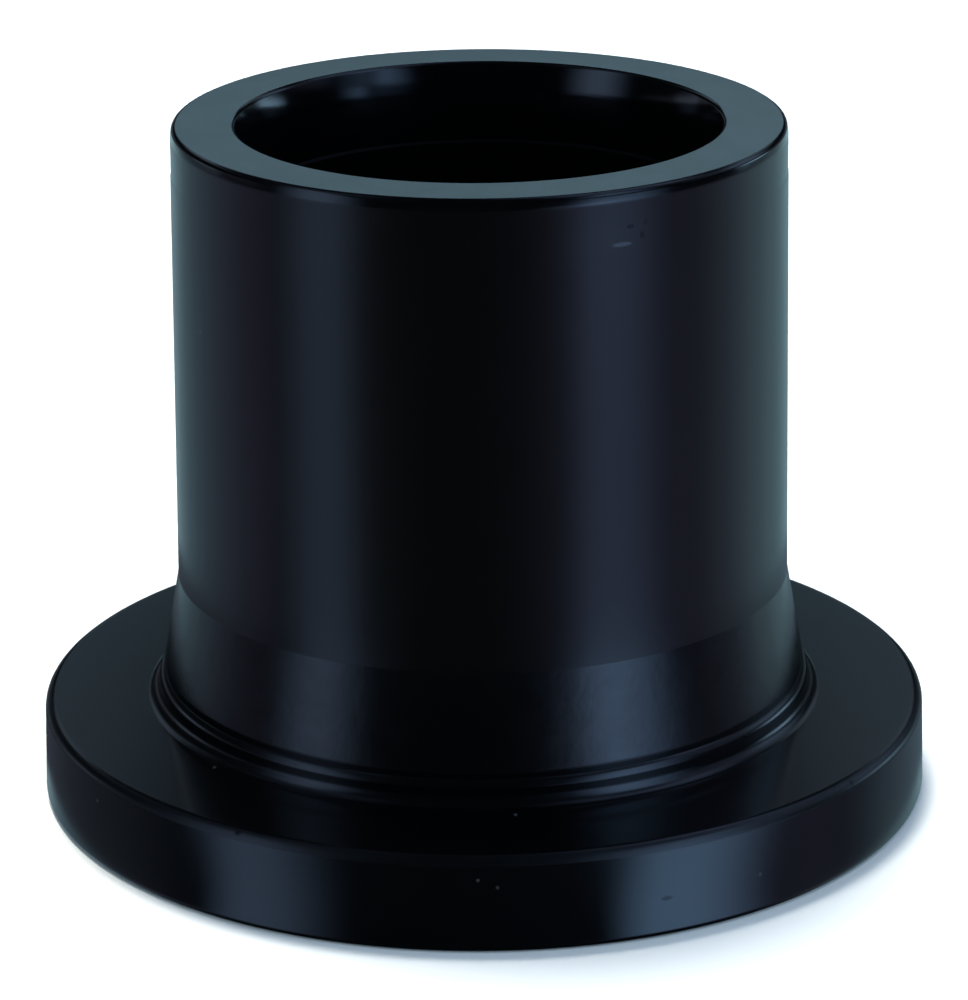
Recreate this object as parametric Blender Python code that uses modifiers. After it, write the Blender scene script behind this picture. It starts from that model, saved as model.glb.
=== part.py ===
"""Lap joint stub end for a loose backing ring: a plain spigot on a thick collar, in black polyethylene.

The fitting is one moulded and turned piece, so it is one body here: a closed outline, drawn in the
XZ plane, is turned round the bore's axis. It stands on its sealing face with the spigot up.
Sizes are in metres, +Z is up, and the origin is the centre of the sealing face.
"""

import math

import bmesh
import bpy
from mathutils import Vector

MM = 0.001

# Spigot, the plain end that is butt welded to a pipe
OVERALL_LENGTH = 129.6 * MM
SPIGOT_RADIUS = 57.15 * MM
SPIGOT_DRAFT = math.radians(0.68)
END_CHAMFER_WIDTH = 0.3 * MM
END_CHAMFER_LENGTH = 2.0 * MM
END_EDGE_ROUNDING = 1.0 * MM
CHAMFER_FOOT_ROUNDING = 5.0 * MM

# Turned band behind the end face, skimmed for the pipe clamp of the welding machine
SKIMMED_LENGTH = 9.1 * MM
SKIM_DEPTH = 0.12 * MM
SKIM_SHOULDER_LENGTH = 0.3 * MM

# Flared neck that thickens the wall towards the collar, in heights above the collar's back
FLARE_TOP_HEIGHT = 24.1 * MM
FLARE_FOOT_HEIGHT = 6.2 * MM
FLARE_ANGLE = math.radians(10.2)
FLARE_TOP_ROUNDING = 1.0 * MM
FLARE_FOOT_ROUNDING = 4.0 * MM

# Low bead round the neck's foot, which centres the loose backing ring, with a top that falls outwards
BEAD_HEIGHT = 5.0 * MM
BEAD_WIDTH = 0.98 * MM
BEAD_TOP_FALL = math.radians(28.0)
BEAD_EDGE_ROUNDING = 1.85 * MM
BEAD_FOOT_ROUNDING = 2.35 * MM

# Collar that the backing ring pulls against the opposite flange
COLLAR_THICKNESS = 18.3 * MM
COLLAR_RADIUS = 84.95 * MM
COLLAR_DRAFT = math.radians(1.7)
COLLAR_BACK_ROUNDING = 2.0 * MM
COLLAR_FRONT_ROUNDING = 1.3 * MM

# Concentric grooves that grip the gasket in the sealing face
GROOVE_COUNT = 3
GROOVE_PITCH = 6.0 * MM
GROOVE_WIDTH = 1.6 * MM
GROOVE_DEPTH = 0.6 * MM
GROOVE_FLANK_ANGLE = math.radians(40.0)

# Bore: moulded through, opened out at the spigot end and tapered to its mouth
BORE_RADIUS = 42.7 * MM
BORE_FRONT_ROUNDING = 1.5 * MM
OPENED_DEPTH = 15.0 * MM
OPENED_EXTRA_RADIUS = 0.5 * MM
MOUTH_TAPER_DEPTH = 6.0 * MM
MOUTH_TAPER_ANGLE = math.radians(19.4)
MOUTH_EDGE_ROUNDING = 0.9 * MM

# How finely round shapes are divided
TURN_STEPS = 72
CHORD_ERROR = 0.04 * MM
MOST_OF_AN_EDGE = 0.98

POLYETHYLENE_COLOUR = (0.012, 0.014, 0.017, 1.0)
POLYETHYLENE_ROUGHNESS = 0.38
POLYETHYLENE_IOR = 1.51

PART_COLLECTION = "lap_joint_stub_end"
BODY_NAME = "stub_end"


def clear_scene():
    """Removes every object that the file was opened with."""
    for obj in list(bpy.data.objects):
        bpy.data.objects.remove(obj, do_unlink=True)


def corner(radius, height, rounding=0.0):
    """A corner of the outline at this radius and height, with the radius of its rounding."""
    return Vector((radius, height)), rounding


def spigot_corners():
    """The outside of the spigot, from the end face down to the top of the flare."""
    skim_end = OVERALL_LENGTH - SKIMMED_LENGTH
    shoulder_end = skim_end - SKIM_SHOULDER_LENGTH
    return [
        corner(SPIGOT_RADIUS - END_CHAMFER_WIDTH, OVERALL_LENGTH, END_EDGE_ROUNDING),
        corner(SPIGOT_RADIUS, OVERALL_LENGTH - END_CHAMFER_LENGTH, CHAMFER_FOOT_ROUNDING),
        corner(SPIGOT_RADIUS, skim_end),
        corner(SPIGOT_RADIUS + SKIM_DEPTH, shoulder_end),
    ]


def neck_corners():
    """The flared neck and the bead at its foot, down to the collar's back.

    Returns:
        The corners, the last of which is the inner corner between the bead and the collar.
    """
    shoulder_end = OVERALL_LENGTH - SKIMMED_LENGTH - SKIM_SHOULDER_LENGTH
    flare_top = COLLAR_THICKNESS + FLARE_TOP_HEIGHT
    flare_foot = COLLAR_THICKNESS + FLARE_FOOT_HEIGHT
    bead_top = COLLAR_THICKNESS + BEAD_HEIGHT
    top_radius = SPIGOT_RADIUS + SKIM_DEPTH + (shoulder_end - flare_top) * math.tan(SPIGOT_DRAFT)
    neck_radius = top_radius + (flare_top - flare_foot) * math.tan(FLARE_ANGLE)
    bead_radius = neck_radius + BEAD_WIDTH
    bead_edge = bead_top - BEAD_WIDTH * math.tan(BEAD_TOP_FALL)
    return [
        corner(top_radius, flare_top, FLARE_TOP_ROUNDING),
        corner(neck_radius, flare_foot, FLARE_FOOT_ROUNDING),
        corner(neck_radius, bead_top),
        corner(bead_radius, bead_edge, BEAD_EDGE_ROUNDING),
        corner(bead_radius, COLLAR_THICKNESS, BEAD_FOOT_ROUNDING),
    ]


def collar_corners():
    """The rim of the collar, a little wider at the sealing face so that it leaves its mould."""
    back_radius = COLLAR_RADIUS - COLLAR_THICKNESS * math.tan(COLLAR_DRAFT)
    return [
        corner(back_radius, COLLAR_THICKNESS, COLLAR_BACK_ROUNDING),
        corner(COLLAR_RADIUS, 0.0, COLLAR_FRONT_ROUNDING),
    ]


def groove_corners():
    """The sealing grooves from the outermost to the innermost, midway between bore and rim."""
    middle_radius = (BORE_RADIUS + COLLAR_RADIUS) / 2
    flank_run = GROOVE_DEPTH * math.tan(GROOVE_FLANK_ANGLE)
    corners = []
    for index in range(GROOVE_COUNT):
        centre = middle_radius + ((GROOVE_COUNT - 1) / 2 - index) * GROOVE_PITCH
        corners += [
            corner(centre + GROOVE_WIDTH / 2, 0.0),
            corner(centre + GROOVE_WIDTH / 2 - flank_run, GROOVE_DEPTH),
            corner(centre - GROOVE_WIDTH / 2 + flank_run, GROOVE_DEPTH),
            corner(centre - GROOVE_WIDTH / 2, 0.0),
        ]
    return corners


def bore_corners():
    """The bore from the sealing face up to its mouth in the end face."""
    opened_radius = BORE_RADIUS + OPENED_EXTRA_RADIUS
    opened_foot = OVERALL_LENGTH - OPENED_DEPTH
    taper_foot = OVERALL_LENGTH - MOUTH_TAPER_DEPTH
    mouth_radius = opened_radius + MOUTH_TAPER_DEPTH * math.tan(MOUTH_TAPER_ANGLE)
    return [
        corner(BORE_RADIUS, 0.0, BORE_FRONT_ROUNDING),
        corner(BORE_RADIUS, opened_foot - OPENED_EXTRA_RADIUS),
        corner(opened_radius, opened_foot),
        corner(opened_radius, taper_foot),
        corner(mouth_radius, OVERALL_LENGTH, MOUTH_EDGE_ROUNDING),
    ]


def half_opening(before, at, after):
    """Half the angle that the outline encloses at a corner between its two neighbours."""
    return (before - at).angle(after - at) / 2


def wanted_reaches(corners):
    """How far the rounding of each corner wants to run along the edges beside it."""
    reaches = []
    for index, (at, rounding) in enumerate(corners):
        before = corners[index - 1][0]
        after = corners[(index + 1) % len(corners)][0]
        reaches.append(rounding / math.tan(half_opening(before, at, after)))
    return reaches


def shared_reaches(corners):
    """How far each rounding may run, where two roundings that meet on a short edge share it.

    Args:
        corners: the outline's corners, each a place and a rounding.

    Returns:
        One length for each corner, in the same order.
    """
    wanted = wanted_reaches(corners)
    shares = [1.0] * len(corners)
    for index, (at, _) in enumerate(corners):
        following = (index + 1) % len(corners)
        room = (corners[following][0] - at).length * MOST_OF_AN_EDGE
        share = min(1.0, room / max(wanted[index] + wanted[following], CHORD_ERROR))
        shares[index] = min(shares[index], share)
        shares[following] = min(shares[following], share)
    return [reach * share for reach, share in zip(wanted, shares)]


def rounded(before, at, after, reach):
    """The points that round one corner of the outline.

    Args:
        before: the corner before it.
        at: the corner itself.
        after: the corner after it.
        reach: how far the arc runs along each of the two edges, or zero for a sharp corner.

    Returns:
        The arc's points in the outline's order, or the corner alone where it stays sharp.
    """
    if reach <= 0.0:
        return [at]
    back = (before - at).normalized()
    ahead = (after - at).normalized()
    half = half_opening(before, at, after)
    radius = reach * math.tan(half)
    centre = at + (back + ahead).normalized() * (radius / math.sin(half))
    first = at + back * reach - centre
    last = at + ahead * reach - centre
    turn = math.atan2(first.cross(last), first.dot(last))
    widest_step = 2 * math.acos(1 - min(CHORD_ERROR / radius, 1.0))
    steps = max(1, math.ceil(abs(turn) / widest_step))
    start = math.atan2(first.y, first.x)
    angles = [start + turn * index / steps for index in range(steps + 1)]
    return [centre + Vector((math.cos(angle), math.sin(angle))) * radius for angle in angles]


def outline():
    """The closed outline, down the outside, in along the sealing face and up the bore."""
    corners = spigot_corners() + neck_corners() + collar_corners() + groove_corners() + bore_corners()
    points = []
    for index, reach in enumerate(shared_reaches(corners)):
        before = corners[index - 1][0]
        after = corners[(index + 1) % len(corners)][0]
        points += rounded(before, corners[index][0], after, reach)
    return points


def outline_mesh(name, points):
    """A mesh of the outline's edges alone, in the XZ plane.

    Args:
        name: the mesh's name.
        points: the outline's points, each a radius and a height.

    Returns:
        The new mesh.
    """
    shape = bmesh.new()
    verts = [shape.verts.new((point.x, 0.0, point.y)) for point in points]
    for index, vert in enumerate(verts):
        shape.edges.new((vert, verts[(index + 1) % len(verts)]))
    mesh = bpy.data.meshes.new(name)
    shape.to_mesh(mesh)
    shape.free()
    return mesh


def polyethylene():
    """Black pipe grade polyethylene with the dull shine of a moulded and turned surface."""
    material = bpy.data.materials.new("black_polyethylene")
    material.use_nodes = True
    shader = material.node_tree.nodes["Principled BSDF"]
    shader.inputs["Base Color"].default_value = POLYETHYLENE_COLOUR
    shader.inputs["Roughness"].default_value = POLYETHYLENE_ROUGHNESS
    shader.inputs["Metallic"].default_value = 0.0
    shader.inputs["IOR"].default_value = POLYETHYLENE_IOR
    material.diffuse_color = POLYETHYLENE_COLOUR
    material.roughness = POLYETHYLENE_ROUGHNESS
    return material


def turned_body(name, points, collection):
    """The outline turned once round the Z axis, shaded smooth with its flat faces kept flat.

    Args:
        name: the object's name.
        points: the outline's points.
        collection: the collection that takes the object.

    Returns:
        The new object, with its modifiers live.
    """
    body = bpy.data.objects.new(name, outline_mesh(name, points))
    collection.objects.link(body)
    turning = body.modifiers.new("turn_round_the_bore", "SCREW")
    turning.axis = "Z"
    turning.angle = math.tau
    turning.screw_offset = 0.0
    turning.steps = TURN_STEPS
    turning.render_steps = TURN_STEPS
    turning.use_smooth_shade = True
    shading = body.modifiers.new("keep_flat_faces_flat", "WEIGHTED_NORMAL")
    shading.keep_sharp = True
    body.data.materials.append(polyethylene())
    return body


def main():
    """Builds the stub end."""
    clear_scene()
    collection = bpy.data.collections.new(PART_COLLECTION)
    bpy.context.scene.collection.children.link(collection)
    turned_body(BODY_NAME, outline(), collection)


main()
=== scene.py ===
"""Studio view of a black polyethylene stub end that stands on its sealing face.

The fitting is one moulded and turned piece, so it is one piece here as well: its outline is drawn corner
by corner, each corner is rounded, and the outline is spun round the bore. Sizes are in metres.
"""

import logging
import math
from collections.abc import Callable, Mapping, Sequence
from dataclasses import dataclass, field
from enum import Enum
from typing import Any, ClassVar

import bpy
from mathutils import Matrix, Vector


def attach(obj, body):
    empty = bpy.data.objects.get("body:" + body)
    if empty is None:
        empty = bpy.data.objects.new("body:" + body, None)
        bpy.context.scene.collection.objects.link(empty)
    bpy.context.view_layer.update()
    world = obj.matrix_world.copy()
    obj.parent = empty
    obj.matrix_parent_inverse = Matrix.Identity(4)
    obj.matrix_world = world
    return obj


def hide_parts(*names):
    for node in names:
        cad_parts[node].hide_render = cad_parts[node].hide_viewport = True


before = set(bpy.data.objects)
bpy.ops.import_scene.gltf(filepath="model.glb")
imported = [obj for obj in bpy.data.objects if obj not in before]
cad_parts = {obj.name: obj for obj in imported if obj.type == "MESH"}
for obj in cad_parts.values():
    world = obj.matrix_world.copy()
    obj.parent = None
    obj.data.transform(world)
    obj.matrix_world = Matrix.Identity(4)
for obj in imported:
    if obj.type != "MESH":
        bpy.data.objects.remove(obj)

LOG = logging.getLogger("stub_end")
MM = 0.001
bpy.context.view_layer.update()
CAD_NODE = "stub_end"

Colour = tuple[float, float, float]


# Shader nodes


@dataclass(frozen=True)
class Signal:
    """A socket that carries a number over a surface, and can be used in sums."""

    bench: "Bench"
    socket: bpy.types.NodeSocket

    def joined(self, operation: str, first: Any, second: Any = 0.0) -> "Signal":
        """A sum of two values as a Math node.

        Args:
            operation: the Math node's operation.
            first: a number or a signal.
            second: a number or a signal.

        Returns:
            The result.
        """
        return self.bench.take("ShaderNodeMath", {"operation": operation}, {0: first, 1: second})

    def __add__(self, other: Any) -> "Signal":
        """This plus the other."""
        return self.joined("ADD", self, other)

    def __radd__(self, other: Any) -> "Signal":
        """The other plus this."""
        return self.joined("ADD", other, self)

    def __sub__(self, other: Any) -> "Signal":
        """This less the other."""
        return self.joined("SUBTRACT", self, other)

    def __rsub__(self, other: Any) -> "Signal":
        """The other less this."""
        return self.joined("SUBTRACT", other, self)

    def __mul__(self, other: Any) -> "Signal":
        """This times the other."""
        return self.joined("MULTIPLY", self, other)

    def __rmul__(self, other: Any) -> "Signal":
        """The other times this."""
        return self.joined("MULTIPLY", other, self)

    def __truediv__(self, other: Any) -> "Signal":
        """This divided by the other."""
        return self.joined("DIVIDE", self, other)

    def root(self) -> "Signal":
        """The square root of this."""
        return self.joined("SQRT", self)

    def at_least(self, floor: float) -> "Signal":
        """This, or the floor where this is lower."""
        return self.joined("MAXIMUM", self, floor)

    def rise(self, start: float, end: float) -> "Signal":
        """A smooth step from 0 at start to 1 at end, or down again where end is below start.

        Args:
            start: where the step begins.
            end: where it ends.

        Returns:
            The step, from 0 to 1.
        """
        low, high = min(start, end), max(start, end)
        step = self.bench.take(
            "ShaderNodeMapRange",
            {"interpolation_type": "SMOOTHSTEP"},
            {"Value": self, "From Min": low, "From Max": high, "To Min": 0.0, "To Max": 1.0},
        )
        return step if start < end else 1.0 - step

    def band(self, begins: float, full: float, ends: float, gone: float) -> "Signal":
        """A smooth step up and down again.

        Args:
            begins: where it leaves 0.
            full: where it reaches 1.
            ends: where it leaves 1.
            gone: where it is back at 0.

        Returns:
            The band, from 0 to 1.
        """
        return self.rise(begins, full) * self.rise(gone, ends)


class Bench:
    """A node tree, and the one method that lays nodes on it."""

    def __init__(self, tree: bpy.types.NodeTree) -> None:
        """Starts with the tree cleared.

        Args:
            tree: a material's or a world's node tree.
        """
        self.tree = tree
        self.tree.nodes.clear()

    def node(self, kind: str, settings: Mapping[str, Any], sockets: Mapping[Any, Any]) -> bpy.types.Node:
        """Lays one node.

        Args:
            kind: the node's type.
            settings: the node's own settings.
            sockets: values, signals or output sockets for its inputs, by name or place.

        Returns:
            The node.
        """
        made = self.tree.nodes.new(kind)
        for name, value in settings.items():
            setattr(made, name, value)
        for name, value in sockets.items():
            source = value.socket if isinstance(value, Signal) else value
            if isinstance(source, bpy.types.NodeSocket):
                self.tree.links.new(source, made.inputs[name])
            else:
                made.inputs[name].default_value = source
        return made

    def take(self, kind: str, settings: Mapping[str, Any], sockets: Mapping[Any, Any]) -> Signal:
        """Lays one node and takes its first output as a signal.

        Args:
            kind: the node's type.
            settings: the node's own settings.
            sockets: values or links for its inputs.

        Returns:
            The output.
        """
        return Signal(self, self.node(kind, settings, sockets).outputs[0])

    def parts(self, vector: bpy.types.NodeSocket) -> tuple[Signal, Signal, Signal]:
        """The X, Y and Z of a vector socket.

        Args:
            vector: the socket.

        Returns:
            Three signals.
        """
        split = self.node("ShaderNodeSeparateXYZ", {}, {"Vector": vector})
        return tuple(Signal(self, split.outputs[axis]) for axis in ("X", "Y", "Z"))

    def place(self) -> bpy.types.NodeSocket:
        """The place on the piece, in its own coordinates."""
        return self.node("ShaderNodeTexCoord", {}, {}).outputs["Object"]

    def degrees_round(self, x: Signal, y: Signal) -> Signal:
        """The direction round the Z axis, in degrees from the camera's side, to the right as it sees it.

        Args:
            x: the place's or the direction's X.
            y: its Y.

        Returns:
            The direction, from -180 to 180.
        """
        turn = self.take("ShaderNodeMath", {"operation": "ARCTAN2"}, {0: x, 1: -1.0 * y})
        return turn * math.degrees(1.0)

    def vector(self, x: Any, y: Any, z: Any) -> bpy.types.NodeSocket:
        """A vector of three numbers or signals.

        Args:
            x: its X.
            y: its Y.
            z: its Z.

        Returns:
            The vector's socket.
        """
        return self.node("ShaderNodeCombineXYZ", {}, {"X": x, "Y": y, "Z": z}).outputs[0]

    def noise(self, place: bpy.types.NodeSocket, grain: float, detail: float, harsh: float) -> Signal:
        """Cloudy noise from 0 to 1.

        Args:
            place: the vector that the noise reads.
            grain: the size of its clouds.
            detail: how many finer layers it has.
            harsh: how strong each finer layer is.

        Returns:
            The noise.
        """
        sockets = {"Vector": place, "Scale": 1.0 / grain, "Detail": detail, "Roughness": harsh}
        return self.take("ShaderNodeTexNoise", {"noise_dimensions": "3D"}, sockets)

    def blend(self, share: Any, first: Any, second: Any, kind: str = "MIX") -> bpy.types.NodeSocket:
        """Two colours blended.

        Args:
            share: how much of the second shows, from 0 to 1.
            first: a colour or a colour's socket.
            second: a colour or a colour's socket.
            kind: the way they are blended.

        Returns:
            The blended colour's socket.
        """
        settings = {"data_type": "RGBA", "blend_type": kind}
        colours = [(*c[:3], 1.0) if isinstance(c, tuple) else c for c in (first, second)]
        made = self.node("ShaderNodeMix", settings, {0: share, 6: colours[0], 7: colours[1]})
        return made.outputs[2]


def dressed(name: str, lay: Callable[[Bench], bpy.types.Node]) -> bpy.types.Material:
    """A new material whose surface is the node that is laid for it.

    Args:
        name: the material's name.
        lay: lays the nodes on the material's bench and returns the surface's.

    Returns:
        The material.
    """
    material = bpy.data.materials.new(name)
    material.use_nodes = True
    bench = Bench(material.node_tree)
    bench.node("ShaderNodeOutputMaterial", {}, {"Surface": lay(bench).outputs[0]})
    return material


def glow(bench: Bench, light: Any, strength: float = 1.0) -> bpy.types.Node:
    """A surface that shines by itself.

    Args:
        bench: the material's bench.
        light: its colour, or the colour's socket.
        strength: how strongly it shines.

    Returns:
        The node.
    """
    return bench.node("ShaderNodeEmission", {}, {"Color": light, "Strength": strength})


# The outline


@dataclass(frozen=True)
class Corner:
    """A corner of the turned outline."""

    radius: float
    height: float
    rounding: float = 0.0
    facets: int = 4

    def point(self) -> Vector:
        """Its place in the XZ plane."""
        return Vector((self.radius, 0.0, self.height))


@dataclass(frozen=True)
class Spigot:
    """The plain end that is welded to a pipe, with its chamfer and the band skimmed behind it."""

    length: float = 129.6 * MM
    radius: float = 57.15 * MM
    draft: float = math.radians(0.68)
    chamfer_width: float = 0.3 * MM
    chamfer_length: float = 2.0 * MM
    edge_rounding: float = 1.0 * MM
    chamfer_foot_rounding: float = 5.0 * MM
    skimmed_length: float = 9.1 * MM
    skim_depth: float = 0.12 * MM
    shoulder_length: float = 0.3 * MM

    def shoulder(self) -> Corner:
        """The corner where the moulded outside begins, under the skimmed band."""
        return Corner(self.radius + self.skim_depth, self.length - self.skimmed_length - self.shoulder_length)

    def corners(self) -> list[Corner]:
        """The outside from the end face down to the moulded surface."""
        return [
            Corner(self.radius - self.chamfer_width, self.length, self.edge_rounding, facets=10),
            Corner(self.radius, self.length - self.chamfer_length, self.chamfer_foot_rounding, facets=4),
            Corner(self.radius, self.length - self.skimmed_length),
            self.shoulder(),
        ]


@dataclass(frozen=True)
class Collar:
    """The thick collar that a loose backing ring pulls against the other flange."""

    thickness: float = 18.3 * MM
    radius: float = 84.95 * MM
    draft: float = math.radians(1.7)
    back_rounding: float = 2.0 * MM
    front_rounding: float = 1.3 * MM

    def corners(self) -> list[Corner]:
        """The rim from the collar's back to the sealing face."""
        back_radius = self.radius - self.thickness * math.tan(self.draft)
        return [
            Corner(back_radius, self.thickness, self.back_rounding, facets=8),
            Corner(self.radius, 0.0, self.front_rounding, facets=6),
        ]


@dataclass(frozen=True)
class Neck:
    """The flare that thickens the wall, and the low bead at its foot."""

    flare_top: float = 24.1 * MM
    flare_foot: float = 6.2 * MM
    flare_angle: float = math.radians(10.2)
    flare_top_rounding: float = 1.0 * MM
    flare_foot_rounding: float = 4.0 * MM
    bead_height: float = 5.0 * MM
    bead_width: float = 0.98 * MM
    bead_top_fall: float = math.radians(28.0)
    bead_edge_rounding: float = 1.85 * MM
    bead_foot_rounding: float = 2.35 * MM

    def corners(self, spigot: Spigot, collar: Collar) -> list[Corner]:
        """The neck from the flare's top to the inner corner on the collar's back.

        Args:
            spigot: the spigot above it.
            collar: the collar under it.

        Returns:
            The corners.
        """
        shoulder = spigot.shoulder()
        top = collar.thickness + self.flare_top
        top_radius = shoulder.radius + (shoulder.height - top) * math.tan(spigot.draft)
        neck_radius = top_radius + (self.flare_top - self.flare_foot) * math.tan(self.flare_angle)
        bead_radius = neck_radius + self.bead_width
        bead_top = collar.thickness + self.bead_height
        bead_edge = bead_top - self.bead_width * math.tan(self.bead_top_fall)
        return [
            Corner(top_radius, top, self.flare_top_rounding, facets=3),
            Corner(neck_radius, collar.thickness + self.flare_foot, self.flare_foot_rounding, facets=5),
            Corner(neck_radius, bead_top),
            Corner(bead_radius, bead_edge, self.bead_edge_rounding, facets=9),
            Corner(bead_radius, collar.thickness, self.bead_foot_rounding, facets=9),
        ]


@dataclass(frozen=True)
class Bore:
    """The moulded bore, opened out at the spigot end and tapered to its mouth."""

    radius: float = 42.7 * MM
    front_rounding: float = 1.5 * MM
    opened_depth: float = 15.0 * MM
    opened_extra: float = 0.5 * MM
    taper_depth: float = 6.0 * MM
    taper_angle: float = math.radians(19.4)
    mouth_rounding: float = 0.9 * MM

    def corners(self, spigot: Spigot) -> list[Corner]:
        """The bore from the sealing face up to its mouth.

        Args:
            spigot: the spigot that it opens in.

        Returns:
            The corners.
        """
        opened = self.radius + self.opened_extra
        foot = spigot.length - self.opened_depth
        mouth = opened + self.taper_depth * math.tan(self.taper_angle)
        return [
            Corner(self.radius, 0.0, self.front_rounding, facets=5),
            Corner(self.radius, foot - self.opened_extra),
            Corner(opened, foot),
            Corner(opened, spigot.length - self.taper_depth),
            Corner(mouth, spigot.length, self.mouth_rounding, facets=8),
        ]


@dataclass(frozen=True)
class SealingGrooves:
    """Three shallow rings in the sealing face that grip the gasket."""

    count: int = 3
    pitch: float = 6.0 * MM
    width: float = 1.6 * MM
    depth: float = 0.6 * MM
    flank_angle: float = math.radians(40.0)

    def corners(self, collar: Collar, bore: Bore) -> list[Corner]:
        """The grooves from the outermost to the innermost.

        Args:
            collar: the collar whose face they are in.
            bore: the bore inside them.

        Returns:
            The corners.
        """
        middle = (bore.radius + collar.radius) / 2
        run = self.depth * math.tan(self.flank_angle)
        made = []
        for index in range(self.count):
            centre = middle + ((self.count - 1) / 2 - index) * self.pitch
            made += [
                Corner(centre + self.width / 2, 0.0),
                Corner(centre + self.width / 2 - run, self.depth),
                Corner(centre - self.width / 2 + run, self.depth),
                Corner(centre - self.width / 2, 0.0),
            ]
        return made


# Modelling


def set_mode(mode: str) -> None:
    """Changes between object and edit mode.

    Args:
        mode: OBJECT or EDIT.
    """
    bpy.ops.object.mode_set(mode=mode)


def choose_points(piece: bpy.types.Object, wanted: Callable[[Vector], bool]) -> None:
    """Selects the piece's points by their place, and stays in edit mode.

    Args:
        piece: the piece, in edit mode.
        wanted: says whether the point at a place is chosen.
    """
    bpy.ops.mesh.select_mode(type="VERT")
    bpy.ops.mesh.select_all(action="DESELECT")
    set_mode("OBJECT")
    for vertex in piece.data.vertices:
        vertex.select = wanted(vertex.co)
    set_mode("EDIT")


def start_point(name: str, place: Vector) -> bpy.types.Object:
    """A plane merged to one point, from which a piece is extruded.

    Args:
        name: the new piece's name.
        place: where the point is.

    Returns:
        The piece, in edit mode with its point selected.
    """
    bpy.ops.object.select_all(action="DESELECT")
    bpy.ops.mesh.primitive_plane_add(size=MM, location=place)
    piece = bpy.context.object
    piece.name = name
    piece.data.name = name
    bpy.ops.object.transform_apply(location=True, rotation=False, scale=False)
    set_mode("EDIT")
    bpy.ops.mesh.select_all(action="SELECT")
    bpy.ops.mesh.merge(type="CENTER")
    return piece


class OutlineTurner:
    """Draws an outline, rounds its corners and spins it round the Z axis."""

    NEAR = 0.001 * MM
    MOST_OF_AN_EDGE = 0.98
    SHARPEST_SMOOTH_EDGE = math.radians(25.0)
    ROUND = 0.5

    def __init__(self, corners: Sequence[Corner], steps: int) -> None:
        """Keeps what is to be turned.

        Args:
            corners: the closed outline's corners, in order.
            steps: how many steps one turn has.
        """
        self.corners = corners
        self.steps = steps

    def drawn(self, name: str) -> bpy.types.Object:
        """The outline's edges, extruded point by point.

        Args:
            name: the new piece's name.

        Returns:
            The piece, in edit mode.
        """
        piece = start_point(name, self.corners[0].point())
        for before, after in zip(self.corners, self.corners[1:]):
            step = after.point() - before.point()
            bpy.ops.mesh.extrude_vertices_move(TRANSFORM_OT_translate={"value": step})
        ends = (self.corners[0].point(), self.corners[-1].point())
        choose_points(piece, lambda place: min((place - end).length for end in ends) < self.NEAR)
        bpy.ops.mesh.edge_face_add()
        return piece

    def wanted_reach(self, index: int) -> float:
        """How far a corner's rounding wants to run along the edges beside it.

        Args:
            index: the corner's place in the outline.

        Returns:
            The length.
        """
        at = self.corners[index]
        back = self.corners[index - 1].point() - at.point()
        ahead = self.corners[(index + 1) % len(self.corners)].point() - at.point()
        return at.rounding / math.tan(back.angle(ahead) / 2)

    def reaches(self) -> list[float]:
        """How far each rounding runs, where two that meet on a short edge share it.

        Returns:
            One length for each corner.
        """
        wanted = [self.wanted_reach(index) for index in range(len(self.corners))]
        shares = [1.0] * len(wanted)
        for index, at in enumerate(self.corners):
            following = (index + 1) % len(wanted)
            room = (self.corners[following].point() - at.point()).length * self.MOST_OF_AN_EDGE
            share = min(1.0, room / max(wanted[index] + wanted[following], self.NEAR))
            shares[index] = min(shares[index], share)
            shares[following] = min(shares[following], share)
        return [reach * share for reach, share in zip(wanted, shares)]

    def turned(self, name: str) -> bpy.types.Object:
        """The finished turned piece.

        Args:
            name: the new piece's name.

        Returns:
            The piece, in object mode.
        """
        piece = self.drawn(name)
        for corner, reach in zip(self.corners, self.reaches()):
            if corner.rounding > 0.0:
                place = corner.point()
                choose_points(piece, lambda point: (point - place).length < self.NEAR)
                bpy.ops.mesh.bevel(
                    offset_type="OFFSET",
                    offset=reach,
                    segments=corner.facets,
                    profile=self.ROUND,
                    affect="VERTICES",
                    clamp_overlap=False,
                )
        bpy.ops.mesh.select_all(action="SELECT")
        bpy.ops.mesh.spin(steps=self.steps, angle=math.tau, center=(0.0, 0.0, 0.0), axis=(0.0, 0.0, 1.0))
        bpy.ops.mesh.select_all(action="SELECT")
        bpy.ops.mesh.remove_doubles(threshold=self.NEAR)
        bpy.ops.mesh.normals_make_consistent(inside=False)
        set_mode("OBJECT")
        bpy.ops.object.shade_smooth_by_angle(angle=self.SHARPEST_SMOOTH_EDGE)
        shading = piece.modifiers.new("even_shading", "WEIGHTED_NORMAL")
        shading.keep_sharp = True
        bpy.ops.object.modifier_apply(modifier=shading.name)
        return piece


# Finishes


class Lines(Enum):
    """The way in which a cutter's lines run on a turned surface."""

    NONE = "none"
    RINGS_ON_A_FACE = "rings"
    RINGS_ROUND_A_WALL = "hoops"


@dataclass(frozen=True)
class Mark:
    """A dull nick or a speck of dust: its place and its reach along X, Y and Z in millimetres.

    It shows in full out to its core, a share of its reach, and has gone at its reach.
    """

    place: tuple[float, float, float]
    reach: tuple[float, float, float]
    dull: float = 0.0
    dust: float = 0.0
    core: ClassVar[float] = 0.35

    def share(self, bench: Bench, axes: Sequence[Signal]) -> Signal:
        """How much of the mark shows at each place.

        Args:
            bench: the material's bench; not used.
            axes: the place's X, Y and Z.

        Returns:
            The share, from 0 to 1.
        """
        offsets = [
            (axis - at * MM) / (reach * MM)
            for axis, at, reach in zip(axes, self.place, self.reach, strict=True)
        ]
        across, along, above = (offset * offset for offset in offsets)
        return (across + along + above).root().rise(1.0, self.core)


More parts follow.
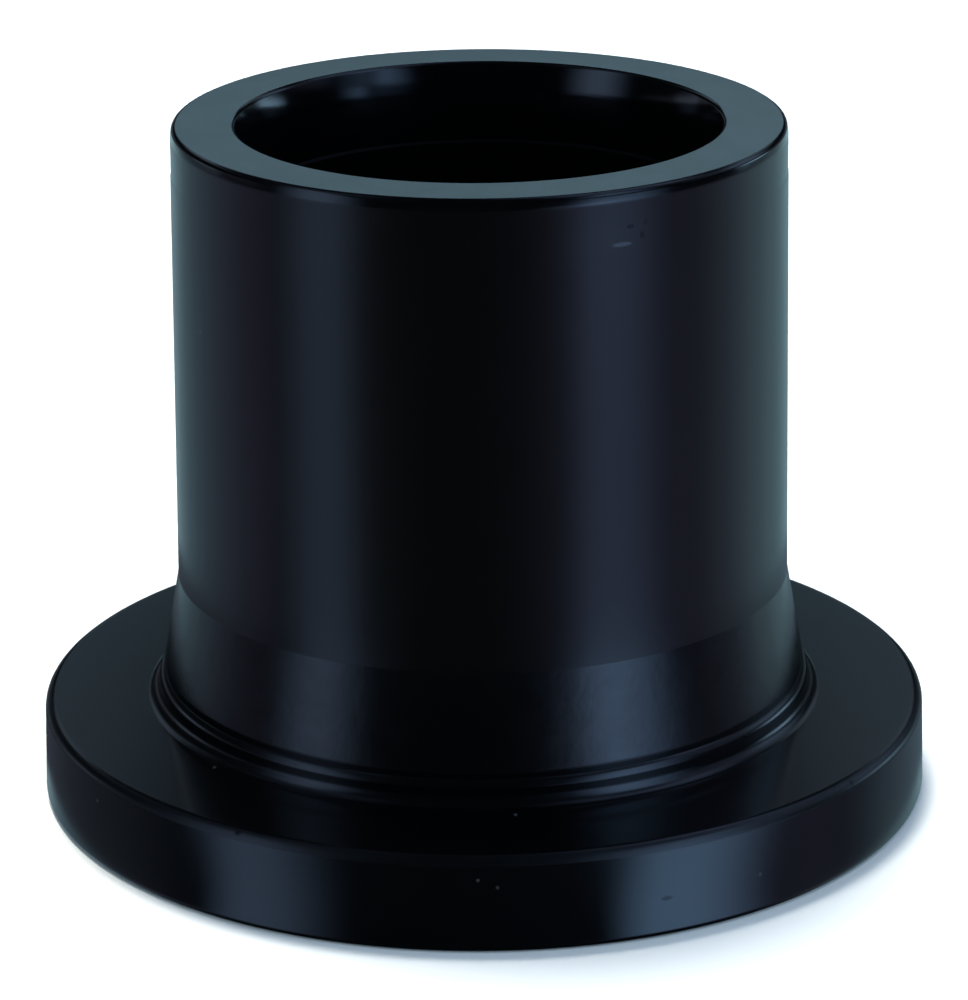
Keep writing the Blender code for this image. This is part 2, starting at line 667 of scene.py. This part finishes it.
SPECK = (0.5, 0.5, 0.5)
DASH = Mark((24.7, -51.6, 119.9), (2.9, 2.0, 0.55), dust=0.9)
SCUFF_COLOUR = (0.024, 0.036, 0.052)
HUB_MARKS = (Mark((-50.8, -27.0, 97.2), SPECK, dust=0.8), DASH)
BAND_MARKS = (
    Mark((26.2, -50.8, 122.9), (1.0, 1.0, 0.6), dull=0.34),
    Mark((28.9, -49.3, 123.2), (0.7, 0.7, 0.7), dull=0.34),
    Mark((28.4, -49.7, 121.0), (0.8, 0.8, 1.1), dull=0.4),
    DASH,
)
RIM_MARKS = (
    Mark((-1.3, -84.5, 13.9), SPECK, dust=0.25),
    Mark((2.1, -84.5, 12.5), SPECK, dust=0.25),
    Mark((32.1, -78.4, 7.4), (1.5, 1.5, 0.6), dull=0.3),
    Mark((49.2, -69.0, 7.6), SPECK, dust=0.25),
    Mark((-71.2, -45.6, 13.0), SPECK, dust=0.3),
)
COLLAR_EDGE_MARKS = (
    Mark((-43.9, -71.4, 17.7), (0.8, 0.8, 0.8), dull=0.4),
    Mark((63.1, -53.8, 18.0), (0.8, 0.7, 0.8), dull=0.5),
    Mark((66.9, -50.9, 17.5), (0.8, 0.7, 0.8), dull=0.5),
)
COLLAR_BACK_MARKS = (
    Mark((5.5, -66.0, 18.3), (0.45, 0.9, 0.6), dust=0.6),
    Mark((-49.7, -43.0, 18.3), (0.5, 0.9, 0.6), dust=0.2),
)


@dataclass(frozen=True)
class Polyethylene:
    """Black polyethylene with the finish of one of its surfaces."""

    name: str
    colour: Colour = (0.0007, 0.0009, 0.0012)
    roughness: float = 0.22
    roughness_spread: float = 0.06
    mottle_size: float = 6.0 * MM
    mottle_depth: float = 0.010 * MM
    grain_size: float = 0.9 * MM
    grain_depth: float = 0.002 * MM
    lines: Lines = Lines.NONE
    line_pitch: float = 0.35 * MM
    line_depth: float = 0.0
    marks: tuple[Mark, ...] = ()
    dust_colour: Colour = (0.075, 0.082, 0.095)
    shine: float = 0.5
    refraction: ClassVar[float] = 1.51
    waver: ClassVar[float] = 0.6

    def made(self) -> bpy.types.Material:
        """The finished material."""
        return dressed(self.name, self.surface)

    def surface(self, bench: Bench) -> bpy.types.Node:
        """The black gloss with its mottling, its cutter lines and its marks.

        Args:
            bench: the material's bench.

        Returns:
            The surface's node.
        """
        place = bench.place()
        clouds = bench.noise(place, self.mottle_size, detail=3.0, harsh=0.55)
        grain = bench.noise(place, self.grain_size, detail=2.0, harsh=0.6)
        height = clouds * self.mottle_depth + grain * self.grain_depth
        if self.lines is not Lines.NONE:
            height = height + self.cutter_lines(bench, place) * self.line_depth
        rough = self.roughness + (clouds - 0.5) * self.roughness_spread
        base = (*self.colour, 1.0)
        axes = bench.parts(place) if self.marks else ()
        for mark in self.marks:
            share = mark.share(bench, axes)
            if mark.dull:
                rough = rough + share * mark.dull
            if mark.dust:
                base = bench.blend(share * mark.dust, base, self.dust_colour)
        bump = bench.node("ShaderNodeBump", {}, {"Strength": 1.0, "Distance": 1.0, "Height": height})
        sockets = {
            "Base Color": base,
            "Roughness": rough,
            "Metallic": 0.0,
            "IOR": self.refraction,
            "Specular IOR Level": self.shine,
            "Normal": bump.outputs["Normal"],
        }
        return bench.node("ShaderNodeBsdfPrincipled", {}, sockets)

    def cutter_lines(self, bench: Bench, place: bpy.types.NodeSocket) -> Signal:
        """The cutter's fine lines, which waver a little as they go round.

        Args:
            bench: the material's bench.
            place: the object coordinates.

        Returns:
            The lines' height, from 0 to 1.
        """
        x, y, z = bench.parts(place)
        radius = (x * x + y * y).root()
        along = radius if self.lines is Lines.RINGS_ON_A_FACE else z
        across = along / self.line_pitch
        ring = bench.vector(x / radius * self.waver, y / radius * self.waver, across)
        return bench.noise(ring, 1.0, detail=2.0, harsh=0.6)


class Zone(Enum):
    """The surfaces of the fitting, each with its own finish."""

    MOULDED_OUTSIDE = 0
    END_FACE = 1
    SKIMMED_BAND = 2
    BORE_TAPER = 3
    BORE_WALL = 4
    SEALING_FACE = 5
    COLLAR_BACK = 6
    END_EDGE = 7
    FLARE = 8
    RIM = 9
    COLLAR_EDGE = 10
    BORE_STEP = 11


FINISHES: dict[Zone, Polyethylene] = {
    Zone.MOULDED_OUTSIDE: Polyethylene(
        "moulded_black_polyethylene", marks=HUB_MARKS, dust_colour=SCUFF_COLOUR
    ),
    Zone.END_FACE: Polyethylene(
        "faced_black_polyethylene",
        roughness=0.18,
        roughness_spread=0.03,
        lines=Lines.RINGS_ON_A_FACE,
        line_depth=0.001 * MM,
    ),
    Zone.SKIMMED_BAND: Polyethylene(
        "skimmed_black_polyethylene",
        lines=Lines.RINGS_ROUND_A_WALL,
        line_depth=0.002 * MM,
        marks=BAND_MARKS,
        dust_colour=SCUFF_COLOUR,
    ),
    Zone.BORE_TAPER: Polyethylene(
        "turned_taper_black_polyethylene",
        roughness=0.13,
        roughness_spread=0.03,
        lines=Lines.RINGS_ROUND_A_WALL,
        line_pitch=0.5 * MM,
        line_depth=0.003 * MM,
    ),
    Zone.BORE_WALL: Polyethylene("moulded_bore_black_polyethylene", roughness=0.18),
    Zone.END_EDGE: Polyethylene(
        "cut_edge_black_polyethylene", roughness=0.13, roughness_spread=0.03
    ),
    Zone.FLARE: Polyethylene(
        "flare_black_polyethylene",
        roughness_spread=0.13,
        mottle_size=4.0 * MM,
        mottle_depth=0.045 * MM,
        grain_size=1.1 * MM,
        grain_depth=0.009 * MM,
    ),
    Zone.RIM: Polyethylene(
        "rim_black_polyethylene",
        lines=Lines.RINGS_ROUND_A_WALL,
        line_pitch=0.45 * MM,
        line_depth=0.0025 * MM,
        marks=RIM_MARKS,
    ),
    Zone.COLLAR_EDGE: Polyethylene(
        "collar_edge_black_polyethylene", roughness=0.32, marks=COLLAR_EDGE_MARKS
    ),
    Zone.BORE_STEP: Polyethylene("bore_step_black_polyethylene", roughness=0.6, shine=0.12),
    Zone.COLLAR_BACK: Polyethylene(
        "collar_back_black_polyethylene",
        roughness=0.165,
        roughness_spread=0.03,
        mottle_depth=0.002 * MM,
        grain_depth=0.0003 * MM,
        marks=COLLAR_BACK_MARKS,
    ),
    Zone.SEALING_FACE: Polyethylene(
        "faced_sealing_black_polyethylene",
        roughness=0.33,
        lines=Lines.RINGS_ON_A_FACE,
        line_depth=0.004 * MM,
    ),
}


# The fitting


@dataclass(frozen=True)
class StubEnd:
    """The whole fitting: spigot, neck, collar, sealing face and bore in one turned piece."""

    spigot: Spigot = field(default_factory=Spigot)
    neck: Neck = field(default_factory=Neck)
    collar: Collar = field(default_factory=Collar)
    grooves: SealingGrooves = field(default_factory=SealingGrooves)
    bore: Bore = field(default_factory=Bore)
    turn_steps: int = 512
    # These tell a face from its neighbours: two for the way it faces, three for its place.
    level: ClassVar[float] = 0.95
    like_the_flare: ClassVar[float] = 0.026
    near: ClassVar[float] = 0.2 * MM
    beside: ClassVar[float] = 1.0 * MM
    beside_the_taper: ClassVar[float] = 4.0 * MM

    def corners(self) -> list[Corner]:
        """The closed outline, down the outside, in along the sealing face and up the bore."""
        return (
            self.spigot.corners()
            + self.neck.corners(self.spigot, self.collar)
            + self.collar.corners()
            + self.grooves.corners(self.collar, self.bore)
            + self.bore.corners(self.spigot)
        )

    def zone(self, centre: Vector, normal: Vector) -> Zone:
        """The surface that a face belongs to.

        Args:
            centre: the face's middle.
            normal: the way it faces.

        Returns:
            The zone.
        """
        radius = math.hypot(centre.x, centre.y)
        spigot, neck, collar, bore = self.spigot, self.neck, self.collar, self.bore
        if normal.z > self.level and centre.z > spigot.length - self.near:
            return Zone.END_FACE
        in_the_taper = radius < bore.radius + self.beside_the_taper
        if in_the_taper and centre.z > spigot.length - bore.taper_depth:
            return Zone.BORE_TAPER
        if radius < bore.radius + self.beside and centre.z > bore.front_rounding:
            return Zone.BORE_STEP if normal.z > math.sin(neck.flare_angle) else Zone.BORE_WALL
        if centre.z < self.grooves.depth + self.near and radius < collar.radius - self.beside:
            return Zone.SEALING_FACE
        if normal.z > self.level and abs(centre.z - collar.thickness) < self.near:
            return Zone.COLLAR_BACK
        if centre.z > spigot.length - spigot.chamfer_length:
            return Zone.END_EDGE
        flare_lean = abs(normal.z - math.sin(neck.flare_angle))
        if flare_lean < self.like_the_flare and centre.z > collar.thickness + neck.flare_foot:
            return Zone.FLARE
        if radius > collar.radius - collar.back_rounding and centre.z < collar.thickness:
            at_top = centre.z > collar.thickness - collar.back_rounding
            return Zone.COLLAR_EDGE if at_top else Zone.RIM
        if centre.z > spigot.length - spigot.skimmed_length:
            return Zone.SKIMMED_BAND
        return Zone.MOULDED_OUTSIDE

    def build(self) -> bpy.types.Object:
        """Models the fitting and dresses each of its surfaces.

        Returns:
            The finished piece.
        """
        piece = OutlineTurner(self.corners(), self.turn_steps).turned("turned_fitting")
        for zone in Zone:
            piece.data.materials.append(FINISHES[zone].made())
        for face in piece.data.polygons:
            face.material_index = self.zone(face.center, face.normal).value
        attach(piece, "root")
        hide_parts(CAD_NODE)
        return piece


# The studio


def staged(prop: bpy.types.Object, camera: bool, diffuse: bool, glossy: bool) -> None:
    """Sets a prop's ray visibility, so that it casts no shadow and isn't seen through other things.

    Args:
        prop: the prop.
        camera: whether the camera sees it.
        diffuse: whether it lights matt surfaces.
        glossy: whether reflections show it.
    """
    prop.visible_camera = camera
    prop.visible_diffuse = diffuse
    prop.visible_glossy = glossy
    prop.visible_transmission = False
    prop.visible_shadow = False


@dataclass(frozen=True)
class Panel:
    """A soft light panel as the fitting sees it, by direction round and above the fitting.

    Directions round it are in degrees from the camera's side, to the right as the camera sees it. Each four
    numbers say where the panel begins to show, where it is full, until where, and where it has gone.
    """

    name: str
    around: tuple[float, float, float, float]
    above: tuple[float, float, float, float]
    light: Colour
    lean: float = 0.0
    lean_start: float = 10.0

    def mask(self, around: Signal, above: Signal) -> Signal:
        """How much of the panel shows in each direction.

        Args:
            around: the direction round the fitting.
            above: the direction above the floor.

        Returns:
            The share, from 0 to 1.
        """
        if self.lean:
            climb = (above - self.lean_start).at_least(0.0)
            around = around - climb * climb * self.lean
        return around.band(*self.around) * above.band(*self.above)


# The heights at which the table and the rear wall show, in degrees above the floor.
TABLE = (-50.0, -36.0, -13.0, -3.0)
REAR_WALL = (20.8, 22.2, 30.0, 40.0)


@dataclass(frozen=True)
class Surroundings:
    """What the fitting's gloss reflects: soft panels round a dim room."""

    room: Colour = (0.006, 0.008, 0.011)
    panels: tuple[Panel, ...] = (
        Panel(
            "right_box",
            (29.0, 46.0, 48.0, 76.0),
            (-13.0, -3.5, 40.0, 64.0),
            (0.98, 1.58, 2.62),
            lean=0.010,
        ),
        Panel("right_box_on_table", (29.0, 44.0, 50.0, 80.0), TABLE, (0.29, 0.40, 0.68)),
        Panel("right_box_skirt", (0.0, 38.0, 60.0, 88.0), TABLE, (0.07, 0.06, 0.11)),
        Panel("right_box_foot", (18.0, 35.0, 42.0, 54.0), (-13.0, -8.0, -3.0, 1.0), (0.28, 0.38, 0.60)),
        Panel(
            "left_box",
            (-82.0, -61.0, -59.0, -40.0),
            (-13.0, -3.5, 40.0, 60.0),
            (0.60, 0.84, 1.30),
            lean=-0.0143,
        ),
        Panel("left_box_on_table", (-84.0, -60.0, -56.0, -41.0), TABLE, (0.28, 0.40, 0.62)),
        Panel("left_box_skirt", (-96.0, -72.0, -50.0, -20.0), TABLE, (0.04, 0.04, 0.05)),
        Panel("front_of_table", (-90.0, -30.0, 30.0, 90.0), TABLE, (0.019, 0.020, 0.015)),
        Panel("rear_of_table_right", (75.0, 138.0, 200.0, 230.0), TABLE, (0.24, 0.40, 0.47)),
        Panel("rear_of_table_left", (-230.0, -200.0, -150.0, -66.0), TABLE, (0.20, 0.32, 0.39)),
        Panel("rear_of_table_far_right", (142.0, 165.0, 195.0, 215.0), TABLE, (0.04, 0.06, 0.05)),
        Panel("rear_of_table_far_left", (-215.0, -195.0, -165.0, -142.0), TABLE, (0.10, 0.14, 0.13)),
        Panel("side_of_table_right", (66.0, 80.0, 110.0, 130.0), TABLE, (0.12, 0.11, 0.18)),
        Panel("side_of_table_left", (-140.0, -100.0, -88.0, -76.0), TABLE, (0.10, 0.07, 0.15)),
        Panel("lamp_on_table", (112.0, 122.0, 134.0, 146.0), TABLE, (0.04, 0.06, 0.06)),
        Panel("right_lamp", (105.0, 115.0, 122.0, 134.0), (-6.5, -2.0, 3.0, 10.0), (1.25, 2.05, 2.80)),
        Panel("left_lamp", (-132.0, -124.0, -114.0, -106.0), (-8.0, -3.0, 3.0, 9.0), (0.24, 0.30, 0.42)),
        Panel(
            "right_strip",
            (100.0, 112.0, 126.0, 144.0),
            (14.0, 20.0, 28.0, 42.0),
            (0.34, 0.53, 0.78),
            lean=0.024,
        ),
        Panel("right_wall", (70.0, 84.0, 116.0, 134.0), (9.0, 17.0, 46.0, 58.0), (0.13, 0.15, 0.24)),
        Panel(
            "right_wall_behind",
            (116.0, 136.0, 168.0, 176.0),
            (-10.0, -4.0, 3.0, 8.0),
            (0.07, 0.10, 0.12),
        ),
        Panel("left_wall", (-176.0, -165.0, -96.0, -80.0), (-6.0, -1.0, 3.0, 8.0), (0.10, 0.11, 0.14)),
        Panel(
            "rear_shelf_right",
            (140.0, 152.0, 200.0, 215.0),
            (-15.5, -12.5, -8.0, -4.0),
            (0.11, 0.17, 0.18),
        ),
        Panel(
            "rear_shelf_left",
            (-215.0, -200.0, -152.0, -138.0),
            (-15.5, -12.5, -8.0, -4.0),
            (0.13, 0.21, 0.21),
        ),
        Panel("right_ceiling", (40.0, 74.0, 150.0, 185.0), (42.0, 54.0, 68.0, 78.0), (0.31, 0.43, 0.72)),
        Panel("left_ceiling", (-150.0, -125.0, -75.0, -50.0), (46.0, 56.0, 64.0, 74.0), (0.09, 0.12, 0.19)),
        Panel(
            "rear_light_right",
            (166.0, 174.0, 200.0, 210.0),
            (10.0, 15.2, 16.8, 18.8),
            (0.46, 0.77, 0.95),
        ),
        Panel(
            "rear_light_left",
            (-210.0, -200.0, -174.0, -166.0),
            (10.0, 15.2, 16.8, 18.8),
            (0.44, 0.735, 0.905),
        ),
        Panel(
            "rear_wall_right",
            (150.0, 165.0, 175.5, 176.7),
            REAR_WALL,
            (0.25, 0.33, 0.43),
            lean=-0.12,
            lean_start=20.5,
        ),
        Panel(
            "rear_wall_left",
            (-176.2, -175.2, -165.0, -150.0),
            REAR_WALL,
            (0.25, 0.33, 0.43),
            lean=0.15,
            lean_start=20.5,
        ),
    )

    def build(self) -> None:
        """Paints the world by direction."""
        world = bpy.data.worlds.new("soft_studio")
        bpy.context.scene.world = world
        world.use_nodes = True
        bench = Bench(world.node_tree)
        direction = bench.node("ShaderNodeTexCoord", {}, {}).outputs["Generated"]
        x, y, z = bench.parts(direction)
        around = bench.degrees_round(x, y)
        above = z.joined("ARCSINE", z) * math.degrees(1.0)
        light = (*self.room, 1.0)
        for panel in self.panels:
            light = bench.blend(panel.mask(around, above), light, panel.light, "ADD")
        background = bench.node("ShaderNodeBackground", {}, {"Color": light, "Strength": 1.0})
        bench.node("ShaderNodeOutputWorld", {}, {"Surface": background.outputs[0]})


@dataclass(frozen=True)
class ReflectionShadeVeil:
    """Painted shade in reflections: a thin black veil near the fitting, which dims a lamp's reflection in
    some of its surfaces and not in others.

    Only reflections see it. Directions round the fitting are in degrees from the camera's side. The veil is
    thick from its foot to where it begins to thin.
    """

    name: str
    radius: float
    foot: float
    thins_from: float
    thins_until: float
    top: float
    begins: float
    ends: float
    thickness: float
    thinned: float
    foot_blur: float = 5.0 * MM
    side_blur: float = 10.0
    steps: int = 16

    def build(self) -> bpy.types.Object:
        """Models the veil as a bent sheet and makes it see-through by place.

        Returns:
            The veil.
        """
        start = math.radians(self.ends)
        foot = Vector((math.sin(start) * self.radius, -math.cos(start) * self.radius, self.foot))
        veil = start_point(self.name, foot)
        rise = (0.0, 0.0, self.top - self.foot)
        bpy.ops.mesh.extrude_vertices_move(TRANSFORM_OT_translate={"value": rise})
        bpy.ops.mesh.select_all(action="SELECT")
        bend = math.radians(self.ends - self.begins)
        bpy.ops.mesh.spin(steps=self.steps, angle=bend, center=(0.0, 0.0, 0.0), axis=(0.0, 0.0, 1.0))
        set_mode("OBJECT")
        veil.data.materials.append(dressed(self.name, self.painted_reflection_shade))
        staged(veil, camera=False, diffuse=False, glossy=True)
        return veil

    def painted_reflection_shade(self, bench: Bench) -> bpy.types.Node:
        """The veil's painted shade: black where it is thick, thinning out towards its sides, its foot and its
        top.

        Args:
            bench: the material's bench.

        Returns:
            The surface's node.
        """
        x, y, z = bench.parts(bench.place())
        around = bench.degrees_round(x, y)
        blur = self.side_blur
        across = around.band(self.begins, self.begins + blur, self.ends - blur, self.ends)
        lost = z.rise(self.thins_from, self.thins_until) * (self.thickness - self.thinned)
        share = across * z.rise(self.foot, self.foot + self.foot_blur) * (self.thickness - lost)
        clear = bench.node("ShaderNodeBsdfTransparent", {}, {})
        # This black is painted shade, which only reflections show.
        black = glow(bench, (0.0, 0.0, 0.0, 1.0), strength=0.0)
        sockets = {0: share, 1: clear.outputs[0], 2: black.outputs[0]}
        return bench.node("ShaderNodeMixShader", {}, sockets)


# Painted shade that only reflections see: each veil dims the lamps' reflections in part of the fitting.
REFLECTION_SHADE_VEILS = (
    ReflectionShadeVeil(
        "edge_reflection_shade",
        radius=150.0 * MM,
        foot=128.0 * MM,
        thins_from=158.0 * MM,
        thins_until=176.0 * MM,
        top=330.0 * MM,
        begins=12.0,
        ends=72.0,
        thickness=0.90,
        thinned=0.42,
    ),
    ReflectionShadeVeil(
        "side_reflection_shade",
        radius=152.0 * MM,
        foot=160.0 * MM,
        thins_from=300.0 * MM,
        thins_until=330.0 * MM,
        top=340.0 * MM,
        begins=54.0,
        ends=84.0,
        thickness=0.60,
        thinned=0.0,
    ),
)


@dataclass(frozen=True)
class TableReflectionPatch:
    """A painted reflection of a stretch of the table beside the collar, by direction round the fitting in
    degrees.
    """

    around: tuple[float, float, float, float]
    light: Colour


@dataclass(frozen=True)
class PaintedTableReflection:
    """A painted reflection of the table close to the collar, as the collar's rim sees it: a glowing ring just
    under the floor.

    Only reflections see it. The directions fan out from the rim, so each patch widens as it runs outwards.
    """

    rim_radius: float = 85.5 * MM
    inner_radius: float = 91.0 * MM
    outer_radius: float = 165.0 * MM
    depth: float = 3.0 * MM
    fan: float = 9.0
    facets: int = 128
    bare_table_reflection: Colour = (0.010, 0.013, 0.020)
    # Painted reflections of lit and dark stretches of the table, which the rim's gloss shows.
    patches: tuple[TableReflectionPatch, ...] = (
        TableReflectionPatch((14.0, 22.0, 25.0, 41.0), (0.92, 1.60, 2.58)),
        TableReflectionPatch((20.0, 36.0, 46.0, 66.0), (0.10, 0.10, 0.17)),
        TableReflectionPatch((52.0, 67.0, 70.0, 180.0), (0.12, 0.18, 0.23)),
        TableReflectionPatch((-40.0, -31.5, -29.5, -16.0), (0.48, 0.72, 1.14)),
        TableReflectionPatch((-180.0, -74.0, -56.0, -36.0), (0.055, 0.065, 0.085)),
    )

    def build(self) -> bpy.types.Object:
        """Models the ring and paints its patches.

        Returns:
            The ring.
        """
        bpy.ops.object.select_all(action="DESELECT")
        centre = (0.0, 0.0, -self.depth)
        bpy.ops.mesh.primitive_circle_add(
            vertices=self.facets, radius=self.outer_radius, location=centre
        )
        ring = bpy.context.object
        ring.name = "painted_table_reflection"
        bpy.ops.object.transform_apply(location=True, rotation=False, scale=False)
        set_mode("EDIT")
        bpy.ops.mesh.select_all(action="SELECT")
        bpy.ops.mesh.extrude_edges_move()
        share = self.inner_radius / self.outer_radius
        bpy.ops.transform.resize(value=(share, share, 1.0), center_override=centre)
        set_mode("OBJECT")
        ring.data.materials.append(dressed("painted_table_reflection", self.painted))
        staged(ring, camera=False, diffuse=False, glossy=True)
        return ring

    def painted(self, bench: Bench) -> bpy.types.Node:
        """The painted reflection of the table, patch by patch, as a glow.

        Args:
            bench: the material's bench.

        Returns:
            The surface's node.
        """
        x, y, _ = bench.parts(bench.place())
        radius = (x * x + y * y).root()
        around = bench.degrees_round(x, y) / (1.0 + (radius - self.rim_radius) * self.fan)
        light = (*self.bare_table_reflection, 1.0)
        for patch in self.patches:
            light = bench.blend(around.band(*patch.around), light, patch.light, "ADD")
        # The glow is a painted reflection that lights nothing; only reflections see it.
        return glow(bench, light)


@dataclass(frozen=True)
class Sun:
    """A broad soft light from above; its size, its tilt and the way its shadows fall are in degrees."""

    name: str
    strength: float
    softness: float
    tilt: float
    turn: float
    colour: Colour

    def build(self) -> None:
        """Creates the light, which reflections don't see."""
        bpy.ops.object.light_add(type="SUN", location=(0.0, 0.0, 1.0))
        lamp = bpy.context.object
        lamp.name = self.name
        lamp.data.energy = self.strength
        lamp.data.angle = math.radians(self.softness)
        lamp.data.color = self.colour
        lamp.visible_glossy = False
        tilt, turn = math.radians(self.tilt), math.radians(self.turn)
        towards = Vector((math.sin(turn), -math.cos(turn), 0.0)) * math.sin(tilt)
        towards.z = -math.cos(tilt)
        lamp.rotation_euler = towards.to_track_quat("-Z", "Y").to_euler()


@dataclass(frozen=True)
class Studio:
    """The floor, the white backdrop behind it and the two soft lights from above."""

    reach: float = 6.0
    floor_facets: int = 96
    floor_colour: Colour = (0.9, 0.9, 0.9)
    dome_rings: int = 32
    dome_colour: Colour = (1.0, 1.0, 1.0)
    lamps: tuple[Sun, ...] = (
        Sun(
            "overhead_light",
            strength=3.35,
            softness=17.0,
            tilt=17.5,
            turn=22.0,
            colour=(1.0, 0.99, 0.93),
        ),
        Sun(
            "fill_light",
            strength=1.5,
            softness=150.0,
            tilt=0.0,
            turn=0.0,
            colour=(0.78, 0.96, 1.0),
        ),
    )

    def build(self) -> None:
        """Builds the stage and the lamps."""
        self.floor()
        self.backdrop()
        for lamp in self.lamps:
            lamp.build()

    def floor(self) -> None:
        """A plain pale floor that keeps the fitting's shadow."""
        bpy.ops.object.select_all(action="DESELECT")
        bpy.ops.mesh.primitive_circle_add(
            vertices=self.floor_facets, radius=self.reach, fill_type="NGON"
        )
        floor = bpy.context.object
        floor.name = "floor"
        paint = {"Color": (*self.floor_colour, 1.0)}
        floor.data.materials.append(
            dressed("pale_floor", lambda bench: bench.node("ShaderNodeBsdfDiffuse", {}, paint))
        )
        staged(floor, camera=True, diffuse=True, glossy=False)

    def backdrop(self) -> None:
        """A white dome that only the camera sees."""
        bpy.ops.object.select_all(action="DESELECT")
        bpy.ops.mesh.primitive_uv_sphere_add(
            segments=2 * self.dome_rings, ring_count=self.dome_rings, radius=self.reach
        )
        dome = bpy.context.object
        dome.name = "backdrop"
        white = (*self.dome_colour, 1.0)
        dome.data.materials.append(dressed("white_backdrop", lambda bench: glow(bench, white)))
        staged(dome, camera=True, diffuse=False, glossy=False)


@dataclass(frozen=True)
class Viewpoint:
    """The photographer's place and lens."""

    place: tuple[float, float, float] = (0.0, -765.1 * MM, 322.4 * MM)
    pan: float = math.radians(0.025)
    pitch: float = math.radians(19.27)
    roll: float = math.radians(-0.48)
    lens: float = 153.02
    sensor: float = 36.0
    nearest: float = 0.01
    farthest: float = 100.0

    def build(self) -> None:
        """Creates the camera and makes it the scene's own."""
        ahead = Vector((math.sin(self.pan), math.cos(self.pan), 0.0)) * math.cos(self.pitch)
        ahead.z = -math.sin(self.pitch)
        level = Vector((math.cos(self.pan), -math.sin(self.pan), 0.0))
        upright = level.cross(ahead)
        right = math.cos(self.roll) * level + math.sin(self.roll) * upright
        up = -math.sin(self.roll) * level + math.cos(self.roll) * upright
        turned = Matrix((right, up, -ahead)).transposed()
        data = bpy.data.cameras.new("photographer")
        data.lens = self.lens
        data.sensor_width = self.sensor
        data.clip_start = self.nearest
        data.clip_end = self.farthest
        camera = bpy.data.objects.new("photographer", data)
        bpy.context.scene.collection.objects.link(camera)
        camera.matrix_world = Matrix.Translation(self.place) @ turned.to_4x4()
        bpy.context.scene.camera = camera


def main() -> None:
    """Builds the fitting, then the studio round it."""
    logging.basicConfig(level=logging.INFO, format="%(message)s")
    fitting = StubEnd().build()
    LOG.info("%s: %d faces", fitting.name, len(fitting.data.polygons))
    Studio().build()
    LOG.info("studio: floor, backdrop and lamps")
    Surroundings().build()
    PaintedTableReflection().build()
    for veil in REFLECTION_SHADE_VEILS:
        veil.build()
    LOG.info("surroundings: painted by direction")
    Viewpoint().build()
    bpy.context.scene.view_settings.view_transform = "Standard"


if __name__ == "__main__":
    main()
